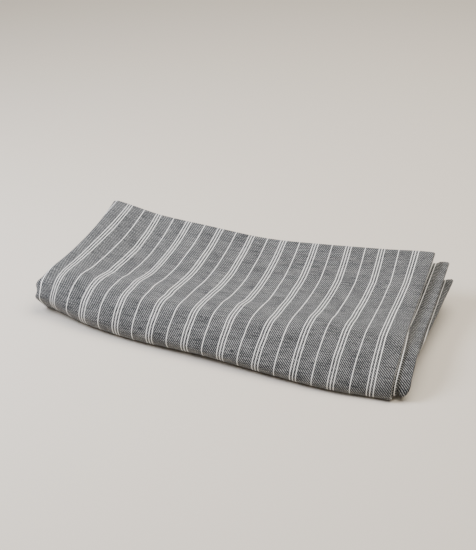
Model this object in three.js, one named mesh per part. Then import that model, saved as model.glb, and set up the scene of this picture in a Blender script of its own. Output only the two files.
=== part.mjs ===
// Folded striped tablecloth, lying on a table.
//
// One length of cotton twill, folded into a flat bundle. The section across the
// bundle is one back-and-forth run of the cloth: nested turns that all bend
// round the long front edge, joined by small turns at the far edge. The left
// end is closed by a fold of the outer turn, and at the right end the turns
// come out by different amounts, so that they show as stepped panel ends.
//
// Millimetres, +Z up. X runs along the bundle, from the closed left end to the
// stepped right end. Y runs from the front fold to the far edge.

import * as THREE from "three";

// Driving dimensions
const BUNDLE_LENGTH = 385; // closed left end to the right edge of the top panel
const CLOTH_THICKNESS = 1.7; // one panel of the folded cloth
const SPINE_GAP = 0.5; // slit left between the two innermost layers
const END_LEAN = -9; // how far the right end drifts to the left at the far edge
const LEFT_FOLD_BULGE = 6; // reach of the closed fold past the flat layers
const LEFT_FOLD_SQUARENESS = 0.55; // 1 is a round fold, less is a blunter one
const LAYER_END_CLEARANCE = 0.6; // from a layer's left end to the fold round it
const TOE_HEIGHT = 2; // the bend leaves the table here
const LEFT_EDGE_BOW = 5; // how far the left end draws in between its corners
const FAR_UNDERCUT = 5; // how far the lowest layer stops short of the far edge

// How finely each stretch is divided
const COLUMNS_ALONG = 12;
const COLUMNS_ON_LEFT_FOLD = 5;
const ROWS_PER_TOP_SPAN = [2, 3, 3, 1];
const ROWS_PER_BEND_SPAN = [2, 2, 2, 2];
const ROWS_PER_TURN = 3;

// The outer skin's section at seven places along the bundle. The toe is where
// the front leaves the table. The pairs are places in (y, z): the front of the
// bend, its brow, the shoulder over the bend's centre, the crest behind it, the
// sag in the middle, the start of the rise and the far edge.
const SECTIONS = [
  {
    x: 6, toe: 15, front: [11, 13], brow: [15, 27], shoulder: [25, 38],
    crest: [38, 41], sag: [80, 42], rise: [140, 45], far: [189, 49],
  },
  {
    x: 63, toe: 7, front: [3, 13], brow: [8, 26], shoulder: [20, 35],
    crest: [32, 37], sag: [100, 31], rise: [148, 35], far: [183, 45],
  },
  {
    x: 120, toe: 3, front: [0, 14], brow: [6, 27], shoulder: [18, 35],
    crest: [29, 37], sag: [99, 29], rise: [146, 34], far: [181, 44],
  },
  {
    x: 196, toe: 2, front: [0, 14], brow: [7, 27], shoulder: [19, 35],
    crest: [30, 37], sag: [98, 28], rise: [147, 33], far: [181, 42],
  },
  {
    x: 272, toe: 0, front: [0, 13], brow: [7, 26], shoulder: [19, 35],
    crest: [35, 39], sag: [104, 32], rise: [148, 38], far: [184, 46],
  },
  {
    x: 329, toe: 0, front: [2, 12], brow: [11, 25], shoulder: [23, 33],
    crest: [43, 40], sag: [107, 35], rise: [153, 42], far: [189, 50],
  },
  {
    x: 386, toe: 1, front: [4, 12], brow: [15, 24], shoulder: [27, 32],
    crest: [50, 41], sag: [106, 41], rise: [154, 49], far: [195, 55],
  },
];

// The nested turns, from the outside in. Each one's right end stands out past
// the top panel's by these amounts at the front and at the far edge, and its
// far edge stops short of the top panel's by the last amount.
const TURNS = [
  { name: "top panel", outAtFront: 0, outAtFar: 0, shortAtFar: 0 },
  { name: "its lining layer", outAtFront: -3, outAtFar: 4, shortAtFar: 2 },
  { name: "second panel", outAtFront: 15, outAtFar: 18, shortAtFar: 0 },
  { name: "its lining layer", outAtFront: 12, outAtFar: 14, shortAtFar: 3 },
  { name: "lowest panel end", outAtFront: 8, outAtFar: 24, shortAtFar: 2 },
  { name: "its lining layer", outAtFront: 6, outAtFar: 19, shortAtFar: 4 },
];

// The section at a place along the bundle, smoothly between the table's rows
function sectionAt(x) {
  const last = SECTIONS.length - 1;
  const after = SECTIONS.findIndex((row) => row.x >= x);
  const upper = THREE.MathUtils.clamp(after < 0 ? last : after, 1, last);
  const [low, high] = [SECTIONS[upper - 1], SECTIONS[upper]];
  const share = THREE.MathUtils.clamp((x - low.x) / (high.x - low.x), 0, 1);
  const smooth = (pick) => {
    const rows = [upper - 2, upper - 1, upper, upper + 1];
    const [a, b, c, d] = rows.map((row) => pick(SECTIONS[THREE.MathUtils.clamp(row, 0, last)]));
    const turn = 2 * a - 5 * b + 4 * c - d + (3 * b - a - 3 * c + d) * share;
    return 0.5 * (2 * b + (c - a + turn * share) * share);
  };
  const place = (column) => new THREE.Vector2(
    smooth((row) => row[column][0]),
    smooth((row) => row[column][1]),
  );
  const names = ["far", "rise", "sag", "crest", "shoulder", "brow", "front"];
  const places = names.map(place);
  places.push(new THREE.Vector2(smooth((row) => row.toe), TOE_HEIGHT));
  return places;
}

// The outer skin of one section, from the far edge over the top, round the
// front bend and back underneath. Each entry pairs a place on the skin with the
// place on the bundle's spine that the layers under it close in on.
function skinAndSpine(x) {
  const places = sectionAt(x);
  const shoulder = places[ROWS_PER_TOP_SPAN.length];
  const centre = new THREE.Vector2(shoulder.x, shoulder.y / 2);
  const under = new THREE.Vector2(shoulder.x, 0);
  const curve = new THREE.SplineCurve([...places, under]);
  const spans = places.length;
  const entries = [];
  [...ROWS_PER_TOP_SPAN, ...ROWS_PER_BEND_SPAN].forEach((rows, span) => {
    for (let row = 0; row < rows; row += 1) {
      const skin = curve.getPoint((span + row / rows) / spans);
      skin.y = Math.max(skin.y, 0);
      const onTop = span < ROWS_PER_TOP_SPAN.length;
      entries.push({ skin, spine: onTop ? new THREE.Vector2(skin.x, skin.y / 2) : centre });
    }
  });
  const top = entries.slice(0, ROWS_PER_TOP_SPAN.reduce((sum, rows) => sum + rows));
  const farY = places[0].x;
  entries.push({ skin: under, spine: centre });
  [...top].reverse().forEach((above) => {
    const y = above.skin.x - FAR_UNDERCUT * (above.skin.x / farY) ** 2;
    entries.push({ skin: new THREE.Vector2(y, 0), spine: new THREE.Vector2(y, above.skin.y / 2) });
  });
  return entries;
}

// How deep below the skin a turn's middle lies, where the spine is this far in
function turnDepth(turn, reach) {
  const share = turn / (TURNS.length - 1);
  return CLOTH_THICKNESS / 2 + share * (reach - CLOTH_THICKNESS - SPINE_GAP / 2);
}

function placeAtDepth(entry, depth) {
  const inward = entry.spine.clone().sub(entry.skin).normalize();
  return entry.skin.clone().addScaledVector(inward, depth);
}

// The run of the cloth through one section, as places in (y, z). The first
// turn starts under the bundle, and every other one is walked the other way.
function clothRun(x) {
  const entries = skinAndSpine(x);
  const farY = entries[0].skin.x;
  const run = [];
  TURNS.forEach((turn, index) => {
    const line = entries.map((entry) => {
      const point = placeAtDepth(entry, turnDepth(index, entry.spine.distanceTo(entry.skin)));
      point.x -= turn.shortAtFar * Math.max(0, point.x / farY) ** 4;
      return point;
    });
    if (index % 2 === 0) line.reverse();
    if (index > 0) run.push(...farTurn(run[run.length - 1], line[0]));
    run.push(...line);
  });
  return run;
}

// The small round turn at the far edge from one layer to the next
function farTurn(from, to) {
  const middle = from.clone().add(to).multiplyScalar(0.5);
  const half = from.clone().sub(middle);
  const outward = new THREE.Vector2(Math.abs(half.y), half.y > 0 ? -half.x : half.x);
  const points = [];
  for (let row = 1; row < ROWS_PER_TURN; row += 1) {
    const angle = (Math.PI * row) / ROWS_PER_TURN;
    const point = middle.clone().addScaledVector(half, Math.cos(angle));
    points.push(point.addScaledVector(outward, Math.sin(angle)));
  }
  return points;
}

// Which turn each row of the run belongs to, and how far along it lies
function rowTurns() {
  const rowsPerTurnLine = skinAndSpine(SECTIONS[0].x).length;
  const rows = [];
  TURNS.forEach((turn, index) => {
    if (index > 0) {
      for (let row = 1; row < ROWS_PER_TURN; row += 1) {
        rows.push({ turn: index - 1 + row / ROWS_PER_TURN, onOuterTurn: false });
      }
    }
    for (let row = 0; row < rowsPerTurnLine; row += 1) {
      rows.push({ turn: index, onOuterTurn: index === 0 });
    }
  });
  return rows;
}

// A value between two neighbouring turns, where a row is on the way from one
// to the next
function betweenTurns(turn, value) {
  const lower = Math.floor(turn);
  const upper = Math.min(lower + 1, TURNS.length - 1);
  return THREE.MathUtils.lerp(value(TURNS[lower], lower), value(TURNS[upper], upper), turn - lower);
}

// The left end's bow, from none at its corners to one half way back
function edgeBow(back) {
  const along = THREE.MathUtils.clamp(back, 0, 1);
  return 4 * along * (1 - along);
}

// How far the closed left fold reaches out at a share of its depth
function foldReach(share) {
  const round = 2 * Math.sqrt(share * (1 - share));
  return LEFT_FOLD_BULGE * round ** LEFT_FOLD_SQUARENESS;
}

// The left end of a turn: the outer one goes over into the fold, and the ones
// inside reach into the hollow of the fold
function leftEnd(turn, index) {
  if (index === 0 || index === TURNS.length - 1) {
    return LEFT_FOLD_BULGE + (index === 0 ? 0 : LAYER_END_CLEARANCE);
  }
  const share = index / (TURNS.length - 1);
  return LEFT_FOLD_BULGE - foldReach(share) + CLOTH_THICKNESS + LAYER_END_CLEARANCE;
}

// Middle surface of the cloth on a grid of rows along the run and columns
// along the bundle. Columns below zero are the outer turn's left fold.
function clothGrid() {
  const rows = rowTurns();
  const grid = rows.map(() => []);
  const runAt = new Map();
  const runFor = (x) => {
    const key = x.toFixed(3);
    if (!runAt.has(key)) runAt.set(key, clothRun(x));
    return runAt.get(key);
  };
  rows.forEach((row, rowIndex) => {
    for (let column = 0; column <= COLUMNS_ALONG; column += 1) {
      const share = column / COLUMNS_ALONG;
      const left = betweenTurns(row.turn, leftEnd);
      const plain = THREE.MathUtils.lerp(left, BUNDLE_LENGTH, share);
      const section = runFor(plain)[rowIndex];
      const back = section.x / sectionAt(plain)[0].x;
      const outAt = (turn) => THREE.MathUtils.lerp(turn.outAtFront, turn.outAtFar, back ** 2);
      const out = betweenTurns(row.turn, outAt);
      const bow = LEFT_EDGE_BOW * (1 - share) ** 2 * edgeBow(back);
      const x = plain + bow + share ** 2 * (out + END_LEAN * back);
      grid[rowIndex].push(new THREE.Vector3(x, section.x, section.y));
    }
  });
  return { rows, grid };
}

// The outer turn's left fold: it leaves the flat layer, bulges to the left and
// comes back in at the bundle's spine
function leftFoldColumns() {
  const entries = skinAndSpine(LEFT_FOLD_BULGE);
  const farY = entries[0].skin.x;
  entries.reverse();
  return entries.map((entry) => {
    const reach = entry.spine.distanceTo(entry.skin);
    const columns = [];
    for (let column = COLUMNS_ON_LEFT_FOLD; column >= 1; column -= 1) {
      const share = (1 - Math.cos((Math.PI * column) / COLUMNS_ON_LEFT_FOLD)) / 2;
      const depth = turnDepth(0, reach) + share * (turnDepth(TURNS.length - 1, reach) - turnDepth(0, reach));
      const place = placeAtDepth(entry, depth);
      const bow = LEFT_EDGE_BOW * edgeBow(place.x / farY);
      columns.push(new THREE.Vector3(LEFT_FOLD_BULGE - foldReach(share) + bow, place.x, place.y));
    }
    return columns;
  });
}

// A closed solid from a grid of middle points: two faces half a thickness
// either side, and a narrow wall round every open edge
function sheetSolid(grid, thickness) {
  const rowCount = grid.length;
  const columnCount = Math.max(...grid.map((row) => row.length));
  const has = (row, column) => Boolean(grid[row] && grid[row][column]);
  const at = (row, column) => grid[row][column];
  const normalAt = (row, column) => {
    const before = has(row - 1, column) ? at(row - 1, column) : at(row, column);
    const after = has(row + 1, column) ? at(row + 1, column) : at(row, column);
    const left = has(row, column - 1) ? at(row, column - 1) : at(row, column);
    const right = has(row, column + 1) ? at(row, column + 1) : at(row, column);
    return after.clone().sub(before).cross(right.clone().sub(left)).normalize();
  };
  const positions = [];
  const indexOf = new Map();
  for (let row = 0; row < rowCount; row += 1) {
    for (let column = 0; column < columnCount; column += 1) {
      if (!has(row, column)) continue;
      const normal = normalAt(row, column);
      [0.5, -0.5].forEach((side, sideIndex) => {
        const point = at(row, column).clone().addScaledVector(normal, side * thickness);
        indexOf.set(`${row},${column},${sideIndex}`, positions.length / 3);
        positions.push(point.x, point.y, point.z);
      });
    }
  }
  const index = (row, column, side) => indexOf.get(`${row},${column},${side}`);
  const isCell = (row, column) =>
    has(row, column) && has(row + 1, column) && has(row, column + 1) && has(row + 1, column + 1);
  const triangles = [];
  const quad = (a, b, c, d) => triangles.push(a, b, c, a, c, d);
  for (let row = 0; row < rowCount - 1; row += 1) {
    for (let column = 0; column < columnCount - 1; column += 1) {
      if (!isCell(row, column)) continue;
      const corners = [[row, column], [row + 1, column], [row + 1, column + 1], [row, column + 1]];
      const outer = corners.map(([r, c]) => index(r, c, 0));
      const inner = corners.map(([r, c]) => index(r, c, 1));
      quad(outer[0], outer[1], outer[2], outer[3]);
      quad(inner[0], inner[3], inner[2], inner[1]);
      const neighbours = [[row, column - 1], [row + 1, column], [row, column + 1], [row - 1, column]];
      neighbours.forEach(([r, c], side) => {
        if (isCell(r, c)) return;
        const next = (side + 1) % 4;
        quad(outer[side], inner[side], inner[next], outer[next]);
      });
    }
  }
  const geometry = new THREE.BufferGeometry();
  geometry.setAttribute("position", new THREE.Float32BufferAttribute(positions, 3));
  geometry.setIndex(triangles);
  return geometry;
}

function tablecloth() {
  const { rows, grid } = clothGrid();
  const fold = leftFoldColumns();
  const blank = new Array(COLUMNS_ON_LEFT_FOLD).fill(null);
  const full = grid.map((row, index) => [...(rows[index].onOuterTurn ? fold[index] : blank), ...row]);
  const geometry = sheetSolid(full, CLOTH_THICKNESS);
  geometry.computeBoundingBox();
  const box = geometry.boundingBox;
  geometry.translate(-(box.min.x + box.max.x) / 2, -(box.min.y + box.max.y) / 2, -box.min.z);
  geometry.computeVertexNormals();
  const twill = new THREE.MeshStandardMaterial({ color: 0x5f6672, roughness: 0.95, metalness: 0 });
  const mesh = new THREE.Mesh(geometry, twill);
  mesh.name = "tablecloth";
  return mesh;
}

const group = new THREE.Group();
group.add(tablecloth());

export default group;
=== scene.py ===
import math
from collections import namedtuple

import bpy
import numpy as np
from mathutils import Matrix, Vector


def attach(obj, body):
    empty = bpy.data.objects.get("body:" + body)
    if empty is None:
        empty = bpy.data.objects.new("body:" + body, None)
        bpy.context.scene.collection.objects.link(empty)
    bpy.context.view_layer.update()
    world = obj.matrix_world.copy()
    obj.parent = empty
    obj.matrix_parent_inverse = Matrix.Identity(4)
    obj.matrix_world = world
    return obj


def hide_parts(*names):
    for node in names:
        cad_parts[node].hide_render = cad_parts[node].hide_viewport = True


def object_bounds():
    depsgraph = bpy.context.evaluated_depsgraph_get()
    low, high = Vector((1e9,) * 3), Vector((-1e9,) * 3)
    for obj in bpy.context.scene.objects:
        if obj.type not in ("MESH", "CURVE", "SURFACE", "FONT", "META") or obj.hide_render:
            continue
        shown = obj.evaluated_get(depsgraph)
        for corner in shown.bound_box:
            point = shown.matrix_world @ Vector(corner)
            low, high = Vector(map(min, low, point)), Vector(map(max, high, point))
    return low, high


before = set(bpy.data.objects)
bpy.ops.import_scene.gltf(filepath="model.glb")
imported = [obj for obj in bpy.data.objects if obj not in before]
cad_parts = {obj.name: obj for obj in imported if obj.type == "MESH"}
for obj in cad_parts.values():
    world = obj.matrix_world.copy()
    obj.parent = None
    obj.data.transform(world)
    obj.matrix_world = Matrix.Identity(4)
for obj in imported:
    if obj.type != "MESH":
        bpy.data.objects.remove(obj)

MM = 0.001
cad_low, cad_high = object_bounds()
CAD_CENTRE = (cad_low + cad_high) / 2


# Camera
# It stands in front of the bundle's right end and looks down across it, from
# about a metre away, as the photograph was taken.
CAMERA_PLACE = Vector((386.5, -948.4, 636.4)) * MM
CAMERA_DOWN = math.radians(30.15)
CAMERA_TURN = math.radians(22.51)
FOCAL_IN_PIXELS = 1149.4
PHOTO_HEIGHT_IN_PIXELS = 550
SENSOR_MM = 36
NEAR_CLIP = 0.05

camera_data = bpy.data.cameras.new("camera")
camera_data.sensor_width = SENSOR_MM
camera_data.lens = FOCAL_IN_PIXELS * SENSOR_MM / PHOTO_HEIGHT_IN_PIXELS
camera_data.clip_start = NEAR_CLIP
camera = bpy.data.objects.new("camera", camera_data)
camera.location = CAMERA_PLACE
camera.rotation_euler = (math.pi / 2 - CAMERA_DOWN, 0, CAMERA_TURN)
bpy.context.scene.collection.objects.link(camera)
bpy.context.scene.camera = camera


# Floor and studio light
# A plain pale floor. A large soft light hangs overhead, behind the bundle and to
# its right. A smaller one stands on the left, so that the right end throws a wide
# shade, and a pale sky fills the rest. Lengths here are in metres.
FLOOR_SIZE = 8
FLOOR_COLOUR = "D9D0C2"
FLOOR_ROUGHNESS = 0.9
KEY_PLACE = Vector((0.3, 0.38, 1.5))
KEY_SIZE = 1.3
KEY_WATTS = 37
KEY_COLOUR = "FFF9EF"
SIDE_PLACE = Vector((-0.65, -0.3, 0.8))
SIDE_SIZE = 0.5
SIDE_WATTS = 16
SIDE_COLOUR = "EAF0FF"
SKY_COLOUR = "FBF7F1"
SKY_STRENGTH = 0.26


def linear(hex_colour):
    """An sRGB hex colour as linear RGBA."""
    channels = [int(hex_colour[i:i + 2], 16) / 255 for i in (0, 2, 4)]
    bent = [c / 12.92 if c <= 0.04045 else ((c + 0.055) / 1.055) ** 2.4 for c in channels]
    return (*bent, 1)


def add_node(tree, kind, settings=None, links=None, **sockets):
    """Adds a node to the tree. Settings are its properties, sockets its constant
    inputs by name (an underscore is a space), and links go into its inputs by
    name or number."""
    node = tree.nodes.new(kind)
    for name, value in (settings or {}).items():
        setattr(node, name, value)
    for name, value in sockets.items():
        node.inputs[name.replace("_", " ")].default_value = value
    for name, source in (links or {}).items():
        if isinstance(source, (int, float)):
            node.inputs[name].default_value = source
        else:
            tree.links.new(source, node.inputs[name])
    return node


def new_material(name):
    """An empty node material and its principled shader."""
    material = bpy.data.materials.new(name)
    material.use_nodes = True
    tree = material.node_tree
    tree.nodes.clear()
    output = add_node(tree, "ShaderNodeOutputMaterial")
    shader = add_node(tree, "ShaderNodeBsdfPrincipled")
    tree.links.new(shader.outputs["BSDF"], output.inputs["Surface"])
    return material, tree, shader


def soft_light(name, place, size, watts, colour):
    """A square light that faces the middle of the part."""
    data = bpy.data.lights.new(name, "AREA")
    data.size = size
    data.energy = watts
    data.color = linear(colour)[:3]
    light = bpy.data.objects.new(name, data)
    light.location = place
    light.rotation_euler = (CAD_CENTRE - place).to_track_quat("-Z", "Y").to_euler()
    bpy.context.scene.collection.objects.link(light)


floor_material, floor_tree, floor_shader = new_material("matt painted board")
floor_shader.inputs["Base Color"].default_value = linear(FLOOR_COLOUR)
floor_shader.inputs["Roughness"].default_value = FLOOR_ROUGHNESS
floor_mesh = bpy.data.meshes.new("floor")
half_floor = FLOOR_SIZE / 2
floor_sides = ((-1, -1), (1, -1), (1, 1), (-1, 1))
floor_corners = [(x * half_floor, y * half_floor, 0) for x, y in floor_sides]
floor_mesh.from_pydata(floor_corners, [], [(0, 1, 2, 3)])
floor_mesh.materials.append(floor_material)
floor = bpy.data.objects.new("floor", floor_mesh)
bpy.context.scene.collection.objects.link(floor)

soft_light("overhead_light", KEY_PLACE, KEY_SIZE, KEY_WATTS, KEY_COLOUR)
soft_light("side_light", SIDE_PLACE, SIDE_SIZE, SIDE_WATTS, SIDE_COLOUR)
world = bpy.data.worlds.new("pale room")
world.use_nodes = True
sky = world.node_tree.nodes["Background"]
sky.inputs["Color"].default_value = linear(SKY_COLOUR)
sky.inputs["Strength"].default_value = SKY_STRENGTH
bpy.context.scene.world = world


# Folded cloth
# One length of cotton twill, folded to and fro into a bundle. The outer panel
# wraps the front; its left end is a closed fold and its right end a thin edge.
# The other panels lie nested inside and come out past it at the right.
#
# Lengths are in mm. x runs along the bundle from its left end, y from the front
# to the far edge, and z up. The spine is the middle that the layers close in on.
BUNDLE_LENGTH = 386.5
CLOTH_THICKNESS = 1.15
SPINE_GAP = 2.0  # between the two innermost layers
END_LEAN = -9  # of the right end, over the way from the front to the far edge
END_POWER = 4  # keeps what an end does close to that end
LEFT_FOLD_BULGE = 6
LEFT_FOLD_SQUARENESS = 0.55  # at 1 the fold is a half ellipse, below it is fuller
LEFT_EDGE_BOW = 7
LAYER_END_CLEARANCE = 0.6  # from a layer's left end to the fold round it
FAR_UNDERCUT = 5  # how far the lowest layer stops short of the far edge
TOE_HEIGHT = 1.5
EDGE_CURL_RADIUS = 1.0
EDGE_CURL_MOST = math.radians(153)
EDGE_CURL_CLEARANCE = 0.1
PLACE_IN_FRAME = Vector((-199.4, -99.6, 0))

# How finely the sheet is divided. The rows are counted for each span between two
# of the named places below, over the top and round the bend.
COLUMNS_ALONG = 104
COLUMNS_ON_LEFT_FOLD = 8
COLUMNS_ON_EDGE_CURL = 4
FINE_TOP_ROWS = (17, 22, 30, 5)
FINE_BEND_ROWS = (7, 7, 6, 6)
COARSE_TOP_ROWS = (5, 6, 8, 2)
COARSE_BEND_ROWS = (3, 3, 3, 3)
ROWS_PER_FAR_TURN = 6
FAR_TURN_LENGTH = 6  # of cloth

# The outer skin's section at seven places along the bundle: its toe on the
# floor, and (y, z) of the bend's front and brow, the shoulder over the bend's
# centre, the crest, the sag in the middle, the start of the rise, the far edge.
Section = namedtuple("Section", "x toe front brow shoulder crest sag rise far")
SECTIONS = (
    Section(6, 23, (12, 17), (15, 27), (25, 38), (38, 41), (80, 42), (140, 45), (189, 49)),
    Section(63, 8.5, (1, 14.5), (8, 27), (20, 35), (32, 37), (100, 31), (148, 35), (183, 45)),
    Section(120, 1.5, (-3.5, 13.5), (6, 27), (18, 35), (29, 37), (99, 29), (146, 34), (181, 44)),
    Section(196, 2.5, (-5.5, 13), (6, 27), (19, 35), (30, 37), (98, 28), (147, 33), (181, 42)),
    Section(272, -2.5, (-7.5, 12), (6, 26), (19, 35), (35, 39), (104, 32), (148, 38), (184, 46)),
    Section(329, -3.5, (-6.5, 11), (9, 26), (23, 33), (43, 40), (107, 35), (153, 42), (189, 50)),
    Section(386, 1.5, (1.5, 13), (14, 25), (27, 32), (50, 41), (106, 41), (154, 49), (195, 55)),
)
FAR_TO_FRONT = ("far", "rise", "sag", "crest", "shoulder", "brow", "front")
SHOULDER = FAR_TO_FRONT.index("shoulder")
FRONT = FAR_TO_FRONT.index("front")

# The crest is eased into a soft round: its middle and half width, counted in
# spans between the places above, at how many half widths the easing has faded
# out, and how many times it is smoothed.
CREST_EASE_AT = 3.8
CREST_EASE_SPANS = 1.2
CREST_EASE_END = 1.3
CREST_EASE_PASSES = 14

# The bumps where layers press out at the left fold, by their distance down the
# cloth from the far edge, with half width and how far out they reach.
FoldBump = namedtuple("FoldBump", "down width out")
FOLD_BUMPS = (
    FoldBump(172, 7, 4.5),
    FoldBump(192, 5, 3.0),
)

# The nested turns from the outside in: how far each one's right end stands out
# past a straight leaning end, from the front (0) to the far edge (100), how far
# its far edge stops short, its stripes' shift at the front and the far edge, and
# how far its low front slumps where it has come out past the panel over it.
Turn = namedtuple(
    "Turn", "out_0 out_25 out_50 out_75 out_100 short_far shift_front shift_far slump",
)
TURNS = (
    Turn(-1.2, -1, -3.0, -3.2, -3.4, 0, 0, 0, 0),  # top panel
    Turn(2.4, 1.6, -5.5, -13, -13, 2, 0.3, 0.3, 0),  # the layer behind it
    Turn(14.6, 13.1, 11.8, 12.0, 11.6, -4, 2.2, 4.3, 6),  # second panel
    Turn(10, 8.5, 6, 6, 7, 3, 0, 0, 0),  # the layer behind it
    Turn(8, 12, 13.6, 17.0, 20.2, 11, 6.5, -6, 0),  # lowest panel that shows
    Turn(5, 6, 8, 10, 12, 12, 0, 0, 0),  # the innermost layer
)
INNERMOST = len(TURNS) - 1

# The dips in an inner turn where the panel over it ends and leaves a dark gap.
GapDip = namedtuple("GapDip", "turn x width depth")
GAP_DIPS = (
    GapDip(2, 385, 4, 3.5),
    GapDip(4, 398, 4, 3),
)

# How far the right ends draw in underneath and, from the second panel inwards,
# at the front corner. Then where along the bundle the slump begins and is full.
UNDER_TUCK = 7
UNDER_TUCK_POWER = 3
CORNER_TUCK = 5
FIRST_TUCKED_TURN = 2
SLUMP_START = 388
SLUMP_LENGTH = 8

# Where the stripes have crept out of straight, in mm along the bundle, at
# these distances down the cloth from the far edge.
Creep = namedtuple("Creep", "x at_0 at_50 at_100 at_150 at_200")
CREEPS = (
    Creep(6, 0, 0, 0.5, 1.2, 1.2),
    Creep(25, -1, 0, -1, -2, -2),
    Creep(63, -1, -0.5, -0.5, -1, -1),
    Creep(101, -0.8, -1.4, -2.4, -1.4, 1),
    Creep(139, 0, 0, -0.5, 0.5, 1.4),
    Creep(215, -1.2, 0, 0.8, 0.8, 2.4),
    Creep(253, -2, 1, 1.8, 2, 1.6),
    Creep(291, -2.2, 1.6, 1.6, 1, 2.4),
    Creep(329, -2.5, 1.8, 1.2, 0.8, 1.8),
    Creep(348, -2.2, 2.2, 1.4, 0.8, 1),
    Creep(367, -1.7, 0.6, -1.1, -1.5, 1),
    Creep(387, 2.2, 2.2, 2.2, 2.2, 2.2),
)
CREEP_MARKS = (0, 50, 100, 150, 200)

# Creases and soft dents: the middle (x, and distance down from the far edge),
# half length, half width, slant from the bundle's length, and height in mm,
# below zero for a trough.
Crease = namedtuple("Crease", "x down length width slant height")
CREASES = (
    Crease(48, 145, 22, 11, 0, 1.6),
    Crease(100, 128, 34, 14, 0, 2.2),
    Crease(205, 131, 26, 10, 0, 1.8),
    Crease(256, 134, 15, 14, 0, -1.6),
    Crease(300, 133, 30, 11, 0, 1.8),
    Crease(230, 168, 95, 15, 0, -1.8),
    Crease(285, 42, 65, 22, 0, -1.8),
    Crease(300, 0, 90, 12, 0, 2.6),
    Crease(62, 118, 26, 9, -12, -1.3),
    Crease(95, 95, 22, 10, 20, -0.9),
    Crease(140, 138, 20, 7, -8, -1.1),
    Crease(170, 112, 24, 9, 10, 0.8),
    Crease(228, 105, 26, 10, -15, -0.9),
    Crease(330, 120, 24, 10, 12, -1.0),
    Crease(345, 60, 20, 14, 30, 0.9),
    Crease(120, 55, 30, 12, -20, 0.8),
    Crease(60, 62, 22, 10, 15, -0.9),
    Crease(180, 62, 24, 12, 25, -0.8),
    Crease(245, 75, 24, 9, 15, 0.8),
    Crease(70, 178, 34, 8, 4, 1.0),
    Crease(150, 184, 30, 7, -5, 0.9),
    Crease(250, 186, 36, 7, 3, 0.8),
    Crease(335, 180, 30, 8, -4, 0.9),
)


def catmull(before, low, high, after, share):
    """A smooth value between low and high, with its two neighbours."""
    bend = 2 * before - 5 * low + 4 * high - after
    twist = 3 * low - before - 3 * high + after
    return 0.5 * (2 * low + (high - before + (bend + twist * share) * share) * share)


def section_places(x):
    """The skin's places at each x, from the far edge to the toe and then the
    floor under the shoulder: places by x by (y, z)."""
    table_x = np.array([row.x for row in SECTIONS], float)
    last = len(SECTIONS) - 1
    upper = np.clip(np.searchsorted(table_x, x), 1, last)
    share = np.clip((x - table_x[upper - 1]) / (table_x[upper] - table_x[upper - 1]), 0, 1)
    rows = [np.clip(upper + step, 0, last) for step in (-2, -1, 0, 1)]
    places = []
    for name in FAR_TO_FRONT:
        column = np.array([getattr(row, name) for row in SECTIONS], float)
        places.append(catmull(*(column[r] for r in rows), share[:, None]))
    toe = np.array([(row.toe, TOE_HEIGHT) for row in SECTIONS], float)
    places.append(catmull(*(toe[r] for r in rows), share[:, None]))
    places.append(np.stack([places[SHOULDER][:, 0], np.zeros(len(x))], axis=1))
    return np.array(places)


def along_spans(rows_per_span):
    """Positions in spans, evenly divided within each span."""
    return np.concatenate([
        span + np.arange(rows) / rows for span, rows in enumerate(rows_per_span)
    ])


def skin_and_spine(x, top_rows, bend_rows):
    """The outer skin over the top, round the bend and back underneath, and the
    spine that the layers close in on: two arrays of rows by x by (y, z)."""
    places = section_places(x)
    last = len(places) - 1
    position = along_spans(top_rows + bend_rows)
    span = position.astype(int)
    corners = [places[np.clip(span + step, 0, last)] for step in (-1, 0, 1, 2)]
    skin = catmull(*corners, (position - span)[:, None, None])
    if top_rows == FINE_TOP_ROWS:
        off_crest = np.abs(position - CREST_EASE_AT) / CREST_EASE_SPANS
        ease = np.clip(CREST_EASE_END - off_crest, 0, 1)[1:-1, None, None]
        for _ in range(CREST_EASE_PASSES):
            around = (skin[:-2] + skin[2:]) / 2
            skin[1:-1] += ease * (around - skin[1:-1]) / 2
    skin[..., 1] = np.maximum(skin[..., 1], 0)
    centre = places[SHOULDER] * (1, 0.5)
    spine = np.where((span < len(top_rows))[:, None, None], skin * (1, 0.5), centre[None])
    far_y = places[0][:, 0]
    position = along_spans(COARSE_TOP_ROWS)
    corners = [places[np.clip(position.astype(int) + step, 0, last)] for step in (-1, 0, 1, 2)]
    above = catmull(*corners, (position % 1)[:, None, None])[::-1]
    below_y = above[..., 0] - FAR_UNDERCUT * (above[..., 0] / far_y) ** 2
    below_skin = np.stack([below_y, np.zeros_like(below_y)], axis=-1)
    below_spine = np.stack([below_y, above[..., 1] / 2], axis=-1)
    under = places[last][None]
    skin = np.concatenate([skin, under, below_skin])
    spine = np.concatenate([spine, centre[None], below_spine])
    return skin, spine


def distance_down(places):
    """How far down the cloth each row lies from the far edge."""
    steps = np.linalg.norm(np.diff(places, axis=0), axis=-1)
    return np.concatenate([np.zeros((1, places.shape[1])), np.cumsum(steps, axis=0)])


def crease_height(x, down):
    """How far the creases raise the skin."""
    height = np.zeros(down.shape)
    for crease in CREASES:
        slant = math.radians(crease.slant)
        along = (x - crease.x) * math.cos(slant) + (down - crease.down) * math.sin(slant)
        across = (down - crease.down) * math.cos(slant) - (x - crease.x) * math.sin(slant)
        fade = (along / crease.length) ** 2 + (across / crease.width) ** 2
        height += crease.height * np.exp(-fade)
    return height


def stripe_creep(x, down):
    """How far along the bundle the stripes have crept."""
    table_x = [row.x for row in CREEPS]
    by_mark = np.array(CREEPS)[:, 1:].T
    creep = []
    for column in range(x.shape[1]):
        at_marks = [np.interp(x[-1, column], table_x, mark) for mark in by_mark]
        creep.append(np.interp(down[:, column], CREEP_MARKS, at_marks))
    return np.stack(creep, axis=1)


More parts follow.
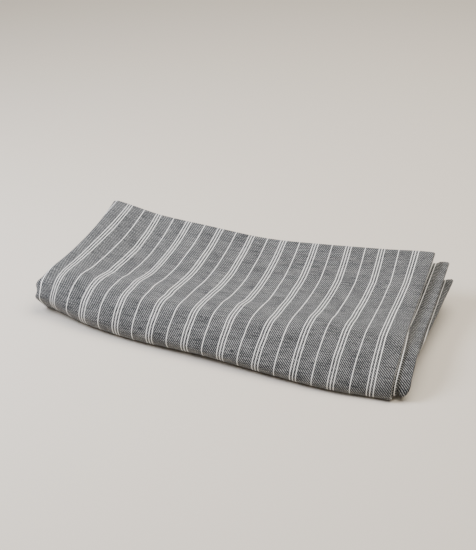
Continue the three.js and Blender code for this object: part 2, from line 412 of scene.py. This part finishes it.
def stands_out(turn, back):
    """How far a turn's right end stands out, at each share of the way back."""
    profile = np.array([turn.out_0, turn.out_25, turn.out_50, turn.out_75, turn.out_100], float)
    last = len(profile) - 1
    position = np.clip(back, 0, 1) * last
    step = np.minimum(position.astype(int), last - 1)
    near = [profile[np.clip(step + offset, 0, last)] for offset in (-1, 0, 1, 2)]
    return catmull(*near, position - step)


def turn_depth(index, reach):
    """How deep below the skin a turn's middle lies, where the spine is this far in."""
    share = index / INNERMOST
    return CLOTH_THICKNESS / 2 + share * (reach - CLOTH_THICKNESS - SPINE_GAP / 2)


def at_depth(skin, spine, depth):
    """Places this deep below the skin, on the way to the spine."""
    inward = spine - skin
    return skin + inward / np.linalg.norm(inward, axis=-1, keepdims=True) * depth[..., None]


def edge_bow(back):
    """The left end's bow, from none at its corners to one half way back."""
    back = np.clip(back, 0, 1)
    return 4 * back * (1 - back)


def fold_reach(share):
    """How far the closed left fold reaches out at a share of its depth."""
    return LEFT_FOLD_BULGE * (2 * np.sqrt(share * (1 - share))) ** LEFT_FOLD_SQUARENESS


def fold_bumps(down):
    """How far the left fold is pressed out, this far down the cloth."""
    return sum(bump.out * np.exp(-((down - bump.down) / bump.width) ** 2) for bump in FOLD_BUMPS)


def left_end(index):
    """The left end of a turn's flat part."""
    if index == 0:
        return LEFT_FOLD_BULGE
    share = index / INNERMOST
    clear = CLOTH_THICKNESS + LAYER_END_CLEARANCE
    return LEFT_FOLD_BULGE - max(fold_reach(share) - clear, -LAYER_END_CLEARANCE)


def edge_curl(end, skin, spine, reach, index):
    """The small curl at a turn's right end, and the length of cloth in it, by row
    and column. It turns in as far as the next layer leaves room. The innermost
    turn's end has no layer beyond it but its own other half, so it turns out."""
    steps = np.arange(1, COLUMNS_ON_EDGE_CURL + 1) / COLUMNS_ON_EDGE_CURL
    spacing = (reach - CLOTH_THICKNESS - SPINE_GAP / 2) / INNERMOST
    room = np.clip(spacing - CLOTH_THICKNESS - EDGE_CURL_CLEARANCE, 0, 2 * EDGE_CURL_RADIUS)
    whole_turn = np.minimum(np.arccos(1 - room / EDGE_CURL_RADIUS), EDGE_CURL_MOST)
    towards = -1 if index == INNERMOST else 1
    inward = (spine - skin) / reach * towards
    curl = []
    for step in steps:
        angle = whole_turn * step
        out_by = EDGE_CURL_RADIUS * np.sin(angle)
        down_by = EDGE_CURL_RADIUS * (1 - np.cos(angle))
        curl.append(end + np.concatenate([out_by, inward * down_by], axis=-1))
    return np.stack(curl, axis=1), EDGE_CURL_RADIUS * whole_turn * steps


def left_fold(skin, spine, reach, down, far_y):
    """The closed fold at the left end, from the innermost layer's depth out to the
    outer turn, by row and column."""
    first = turn_depth(0, reach)
    final = turn_depth(INNERMOST, reach)
    fold = []
    for column in range(COLUMNS_ON_LEFT_FOLD, 0, -1):
        deep = (1 - math.cos(math.pi * column / COLUMNS_ON_LEFT_FOLD)) / 2
        section = at_depth(skin, spine, first + deep * (final - first))
        x = LEFT_FOLD_BULGE + LEFT_EDGE_BOW * edge_bow(section[:, 0] / far_y)
        x -= fold_reach(deep) * (1 + fold_bumps(down) / LEFT_FOLD_BULGE)
        fold.append(np.concatenate([x[:, None], section], axis=-1))
    return np.stack(fold, axis=1)


def turn_grid(index):
    """One turn as a grid of rows by columns by (x, y, z), from the far edge over
    the top, round the bend and back underneath, and the cloth's own coordinate
    along the bundle."""
    turn = TURNS[index]
    fine = index == 0
    top_rows = FINE_TOP_ROWS if fine else COARSE_TOP_ROWS
    bend_rows = FINE_BEND_ROWS if fine else COARSE_BEND_ROWS
    share = np.linspace(0, 1, COLUMNS_ALONG + 1)
    plain = left_end(index) + (BUNDLE_LENGTH - left_end(index)) * share
    skin, spine = skin_and_spine(plain, top_rows, bend_rows)
    down = distance_down(skin)
    outward = (skin - spine) / np.linalg.norm(skin - spine, axis=-1, keepdims=True)
    skin = skin + outward * crease_height(plain, down)[..., None]
    skin[..., 1] = np.maximum(skin[..., 1], 0)
    reach = np.linalg.norm(spine - skin, axis=-1)
    place = at_depth(skin, spine, turn_depth(index, reach))
    far_y = skin[0, :, 0]
    place[..., 0] -= turn.short_far * np.clip(place[..., 0] / far_y, 0, None) ** END_POWER
    back = place[..., 0] / far_y

    rows_above = sum(top_rows + bend_rows)
    past_front = np.ones((len(place), 1))
    past_front[:rows_above, 0] = np.clip(along_spans(top_rows + bend_rows) - FRONT, 0, 1)
    out = stands_out(turn, back)
    if index >= FIRST_TUCKED_TURN:
        out -= CORNER_TUCK * past_front ** 2
    out[rows_above:] -= UNDER_TUCK * (1 - (1 - back[rows_above:]) ** UNDER_TUCK_POWER)
    bow = LEFT_EDGE_BOW * (1 - share) ** 2 * edge_bow(back)
    x = plain + bow + share ** END_POWER * (out + END_LEAN * back)

    slump = turn.slump * past_front * np.clip((x - SLUMP_START) / SLUMP_LENGTH, 0, 1)
    place += outward * slump[..., None]
    for dip in GAP_DIPS:
        if dip.turn == index:
            past_middle = (x - dip.x - END_LEAN * back) / dip.width
            deep = dip.depth * np.exp(-past_middle ** 2) * np.clip(back, 0, 1)
            place -= outward * (deep * (1 - past_front))[..., None]

    flat = np.concatenate([x[..., None], place], axis=-1)
    curl, curl_length = edge_curl(flat[:, -1], skin[:, -1], spine[:, -1], reach[:, -1:], index)
    grid = np.concatenate([flat, curl], axis=1)
    shift = turn.shift_front + (turn.shift_far - turn.shift_front) * back
    u = plain + bow - shift
    if fine:
        u -= stripe_creep(plain + bow, down)
    u = np.concatenate([u, u[:, -1:] + curl_length], axis=1)
    if fine:
        fold = left_fold(skin[:, 0], spine[:, 0], reach[:, 0], down[:, 0], far_y[0])
        strip = np.concatenate([fold, grid[:, :1]], axis=1)
        steps = np.linalg.norm(np.diff(strip, axis=1), axis=-1).mean(axis=0)
        u_fold = u[:, :1] - np.cumsum(steps[::-1])[::-1]
        grid = np.concatenate([fold, grid], axis=1)
        u = np.concatenate([u_fold, u], axis=1)
    return grid, u


def far_turn(start, end):
    """The small round turn at the far edge from one layer's end to the next's. It
    stays round at the longer layer's end and comes back to the shorter one's."""
    middle = (start + end) / 2
    half = start - middle
    radius = np.abs(half[:, 2])
    start_is_longer = start[:, 1] > end[:, 1]
    rows = []
    for row in range(1, ROWS_PER_FAR_TURN):
        share = row / ROWS_PER_FAR_TURN
        place = middle + half * math.cos(math.pi * share)
        back_share = np.where(start_is_longer, share ** 2, 1 - (1 - share) ** 2)
        place[:, 1] = start[:, 1] + (end[:, 1] - start[:, 1]) * back_share
        place[:, 1] += radius * math.sin(math.pi * share)
        rows.append(place)
    return np.stack(rows)


def cloth_run():
    """The whole run as one grid, with the cloth's own coordinates: u along the
    bundle, and v along the run from its start. Only the outer turn has the columns
    of the left fold, and they take v from the column beside them."""
    grids = []
    us = []
    vs = []
    far_place = 0
    for index in range(len(TURNS)):
        grid, u = turn_grid(index)
        if index > 0:
            blank = np.full((len(grid), COLUMNS_ON_LEFT_FOLD, 3), np.nan)
            grid = np.concatenate([blank, grid], axis=1)
            u = np.concatenate([np.full((len(u), COLUMNS_ON_LEFT_FOLD), np.nan), u], axis=1)
        down = distance_down(grid)
        down[:, :COLUMNS_ON_LEFT_FOLD] = down[:, COLUMNS_ON_LEFT_FOLD:COLUMNS_ON_LEFT_FOLD + 1]
        if index % 2 == 0:
            grid = grid[::-1]
            u = u[::-1]
            far_place += down[-1].mean() * (index > 0)
            v = far_place - down[::-1]
        else:
            v = far_place + down
            far_place += down[-1].mean()
        if index > 0:
            bend = far_turn(grids[-1][-1], grid[0])
            mix = (np.arange(1, ROWS_PER_FAR_TURN) / ROWS_PER_FAR_TURN)[:, None]
            bend[:, :COLUMNS_ON_LEFT_FOLD] = np.nan
            grids.append(bend)
            us.append(us[-1][-1] * (1 - mix) + u[0] * mix)
            vs.append(vs[-1][-1] * (1 - mix) + v[0] * mix)
        grids.append(grid)
        us.append(u)
        vs.append(v)
        far_place += FAR_TURN_LENGTH
    return np.concatenate(grids), np.concatenate(us), np.concatenate(vs)


def sheet_mesh(name, grid, u, v, thickness):
    """A closed sheet of the given thickness round a grid of middle points, with
    the cloth's own coordinates as its UV map in metres."""
    rows, columns = grid.shape[:2]
    there = ~np.isnan(grid[..., 0])
    padded = np.pad(grid, ((1, 1), (1, 1), (0, 0)), constant_values=np.nan)

    def neighbour(row_step, column_step):
        moved = padded[1 + row_step:1 + row_step + rows, 1 + column_step:1 + column_step + columns]
        return np.where(np.isnan(moved), grid, moved)

    along_rows = neighbour(1, 0) - neighbour(-1, 0)
    along_columns = neighbour(0, 1) - neighbour(0, -1)
    normal = np.cross(along_rows, along_columns)
    normal /= np.linalg.norm(normal, axis=-1, keepdims=True)
    number = np.full((rows, columns), -1)
    number[there] = np.arange(there.sum())
    count = int(there.sum())
    outer = grid[there] + normal[there] * thickness / 2
    inner = grid[there] - normal[there] * thickness / 2
    vertices = (np.concatenate([outer, inner]) + np.array(PLACE_IN_FRAME)) * MM
    cell = there[:-1, :-1] & there[1:, :-1] & there[:-1, 1:] & there[1:, 1:]
    corner = [number[:-1, :-1], number[1:, :-1], number[1:, 1:], number[:-1, 1:]]
    outer_faces = np.stack([c[cell] for c in corner], axis=1)
    inner_faces = outer_faces[:, ::-1] + count
    walls = []
    framed = np.pad(cell, 1)
    sides = ((0, -1, 0, 1), (1, 0, 1, 2), (0, 1, 2, 3), (-1, 0, 3, 0))
    for row_step, column_step, first, second in sides:
        beyond = framed[1 + row_step:rows + row_step, 1 + column_step:columns + column_step]
        open_side = cell & ~beyond
        a = corner[first][open_side]
        b = corner[second][open_side]
        walls.append(np.stack([a, a + count, b + count, b], axis=1))
    faces = np.concatenate([outer_faces, inner_faces, *walls])
    mesh = bpy.data.meshes.new(name)
    mesh.from_pydata(vertices.tolist(), [], faces.tolist())
    uv_of_vertex = np.tile(np.stack([u[there], v[there]], axis=1), (2, 1))
    layer = mesh.uv_layers.new(name="cloth")
    corners = np.zeros(len(mesh.loops), int)
    mesh.loops.foreach_get("vertex_index", corners)
    layer.data.foreach_set("uv", (uv_of_vertex[corners] * MM).ravel())
    mesh.polygons.foreach_set("use_smooth", np.ones(len(mesh.polygons), bool))
    mesh.update()
    return mesh


cloth_grid, cloth_u, cloth_v = cloth_run()
cloth_mesh = sheet_mesh("tablecloth", cloth_grid, cloth_u, cloth_v, CLOTH_THICKNESS)
tablecloth = bpy.data.objects.new("tablecloth_sheet", cloth_mesh)
bpy.context.scene.collection.objects.link(tablecloth)


# Striped cotton twill
# Dark blue-grey warp with an off-white weft, woven in a steep diagonal rib, so
# the eye sees a mixed mid grey. Bleached yarn makes the stripes: three close
# lines, then one, woven in and broken by the rib into short slanted dashes.
# Lengths are in mm of cloth.
STRIPE_REPEAT = 38
STRIPE_START = 25
TRIPLE_SPACING = 3.1
STRIPE_WIDTH = 0.72
STRIPE_CORE = 0.75  # the full stripe and its faded edge, as shares of half its width
STRIPE_EDGE = 1.3
TWILL_PITCH = 2.45  # along the stripe or across it, so 1.7 from line to line
DARK_YARN = "191C20"
LIGHT_YARN = "BAB9B6"
STRIPE_YARN = "FFFDF8"
CLOTH_ROUGHNESS = 0.92
CLOTH_SPECULAR = 0.25
SHEEN = 0.12
SHEEN_ROUGHNESS = 0.6

# How much light yarn shows. The rib brings it up in lines, the uneven threads
# and long weft streaks mottle it, and wide soft patches of painted shade, which
# stand in for the shading of soft dents, vary it. Each noise has its lumps per
# mm and its roughness.
RIB_RISE = (0.35, 0.9)
RIB_SHARE = 0.95
THREAD_NOISE = (0.9, 0.6)
THREAD_SHARE = 0.55
WEFT_NOISE = (0.8, 0.55)
WEFT_STREAK_STRETCH = 0.07
# The noise of the painted shade's wide soft patches, and how far it spreads.
PAINTED_SHADE_NOISE = (0.05, 0.5)
PAINTED_SHADE_SPREAD = 0.4
NOISE_DETAIL = 2.0
MOTTLE_GAIN = 2.2
MOTTLE_BASE = -1.55

# The dashes in a stripe: where the rib raises them, and how much they add.
DASH_RISE = (0.05, 0.55)
DASH_GAIN = 0.45
DASH_BASE = 0.7

# How much the rib, the mottle and the stripes stand up in the weave's relief.
RIB_RELIEF = 0.12
MOTTLE_RELIEF = 0.25
STRIPE_RELIEF = 0.15
RELIEF_STRENGTH = 0.6

# Thick dark slubs in the yarn, each by its place (u, v) in the cloth, with their
# half length and half width, and the shares of these where they fade out.
SLUBS = ((172, -116), (100, -24), (129, -190), (227, -192))
SLUB_LENGTH = 2.8
SLUB_WIDTH = 1.7
SLUB_FADE = (0.5, 1.1)
SLUB_YARN = "171A20"
SLUB_SHARE = 0.8
FAR_FROM_SLUBS = 10.0


def striped_twill():
    """The cloth's material, drawn from the sheet's own coordinates."""
    material, tree, shader = new_material("striped cotton twill")

    def math_node(operation, first, second=0.0, third=0.0):
        inputs = {0: first, 1: second, 2: third}
        return add_node(tree, "ShaderNodeMath", {"operation": operation}, inputs).outputs[0]

    def ramp(value, low, high):
        settings = {"interpolation_type": "SMOOTHSTEP"}
        inputs = {"Value": value, "From Min": low, "From Max": high}
        return add_node(tree, "ShaderNodeMapRange", settings, inputs).outputs["Result"]

    def noise(place, per_mm, roughness):
        settings = {"noise_dimensions": "2D"}
        inputs = {"Vector": place, "Scale": per_mm, "Detail": NOISE_DETAIL, "Roughness": roughness}
        return add_node(tree, "ShaderNodeTexNoise", settings, inputs).outputs[0]

    def mix_colour(share, first, second):
        node = add_node(tree, "ShaderNodeMix", {"data_type": "RGBA"}, {"Factor": share})
        for slot, colour in ((6, first), (7, second)):
            if isinstance(colour, tuple):
                node.inputs[slot].default_value = colour
            else:
                tree.links.new(colour, node.inputs[slot])
        return node.outputs[2]

    coordinates = add_node(tree, "ShaderNodeUVMap", {"uv_map": "cloth"}).outputs[0]
    scaled = add_node(
        tree, "ShaderNodeVectorMath", {"operation": "SCALE"}, {0: coordinates}, Scale=1 / MM,
    )
    place = scaled.outputs[0]
    split = add_node(tree, "ShaderNodeSeparateXYZ", links={0: place})
    u = split.outputs["X"]
    v = split.outputs["Y"]

    half_repeat = STRIPE_REPEAT / 2
    from_start = math_node("SUBTRACT", u, STRIPE_START)
    off_middle = math_node("ABSOLUTE", math_node("WRAP", from_start, half_repeat, -half_repeat))
    off_outer = math_node("ABSOLUTE", math_node("SUBTRACT", off_middle, TRIPLE_SPACING))
    off_single = math_node("SUBTRACT", half_repeat, off_middle)
    nearest = math_node("MINIMUM", math_node("MINIMUM", off_middle, off_outer), off_single)
    half_width = STRIPE_WIDTH / 2
    off_stripe = ramp(nearest, half_width * STRIPE_CORE, half_width * STRIPE_EDGE)
    in_stripe = math_node("SUBTRACT", 1.0, off_stripe)

    rib_phase = math_node("DIVIDE", math_node("ADD", u, v), TWILL_PITCH)
    rib_wave = math_node("SINE", math_node("MULTIPLY", rib_phase, math.tau))
    rib = math_node("MULTIPLY_ADD", rib_wave, 0.5, 0.5)

    across = add_node(
        tree, "ShaderNodeMapping", {"vector_type": "POINT"}, {"Vector": place},
        Scale=(WEFT_STREAK_STRETCH, 1.0, 1.0),
    )
    threads = noise(place, *THREAD_NOISE)
    streaks = noise(across.outputs[0], *WEFT_NOISE)
    streak_part = math_node("MULTIPLY", streaks, 1 - THREAD_SHARE)
    mottle = math_node("ADD", math_node("MULTIPLY", threads, THREAD_SHARE), streak_part)
    # Painted shade: wide soft patches, darker and lighter, for the shading of soft dents in the
    # cloth.
    shade_noise = noise(place, *PAINTED_SHADE_NOISE)
    painted_dent_shade = math_node("MULTIPLY_ADD", shade_noise, PAINTED_SHADE_SPREAD, -PAINTED_SHADE_SPREAD / 2)
    uneven = math_node("ADD", math_node("MULTIPLY_ADD", mottle, MOTTLE_GAIN, MOTTLE_BASE), painted_dent_shade)
    rib_light = math_node("MULTIPLY", ramp(rib, *RIB_RISE), RIB_SHARE)
    light_share = math_node("ADD", rib_light, uneven)
    ground = mix_colour(light_share, linear(DARK_YARN), linear(LIGHT_YARN))

    off_slub = FAR_FROM_SLUBS
    for slub_u, slub_v in SLUBS:
        from_slub = add_node(
            tree, "ShaderNodeMapping", {"vector_type": "TEXTURE"}, {"Vector": place},
            Location=(slub_u, slub_v, 0), Scale=(SLUB_LENGTH, SLUB_WIDTH, 1),
        )
        length = {"operation": "LENGTH"}
        away = add_node(tree, "ShaderNodeVectorMath", length, {0: from_slub.outputs[0]})
        off_slub = math_node("MINIMUM", off_slub, away.outputs["Value"])
    in_slub = math_node("SUBTRACT", 1.0, ramp(off_slub, *SLUB_FADE))
    slub_share = math_node("MULTIPLY", in_slub, SLUB_SHARE)
    with_slubs = mix_colour(slub_share, ground, linear(SLUB_YARN))

    dash = math_node("MULTIPLY_ADD", ramp(rib, *DASH_RISE), DASH_GAIN, DASH_BASE)
    stripe_share = math_node("MULTIPLY", in_stripe, dash)
    colour = mix_colour(stripe_share, with_slubs, linear(STRIPE_YARN))
    tree.links.new(colour, shader.inputs["Base Color"])
    shader.inputs["Roughness"].default_value = CLOTH_ROUGHNESS
    shader.inputs["Specular IOR Level"].default_value = CLOTH_SPECULAR
    shader.inputs["Sheen Weight"].default_value = SHEEN
    shader.inputs["Sheen Roughness"].default_value = SHEEN_ROUGHNESS

    rib_height = math_node("MULTIPLY", rib, RIB_RELIEF)
    ground_height = math_node("ADD", rib_height, math_node("MULTIPLY", mottle, MOTTLE_RELIEF))
    height = math_node("ADD", ground_height, math_node("MULTIPLY", in_stripe, STRIPE_RELIEF))
    bump = add_node(
        tree, "ShaderNodeBump", None, {"Height": height}, Strength=RELIEF_STRENGTH, Distance=MM,
    )
    tree.links.new(bump.outputs["Normal"], shader.inputs["Normal"])
    return material


cloth_mesh.materials.append(striped_twill())

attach(tablecloth, "root")
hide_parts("tablecloth")
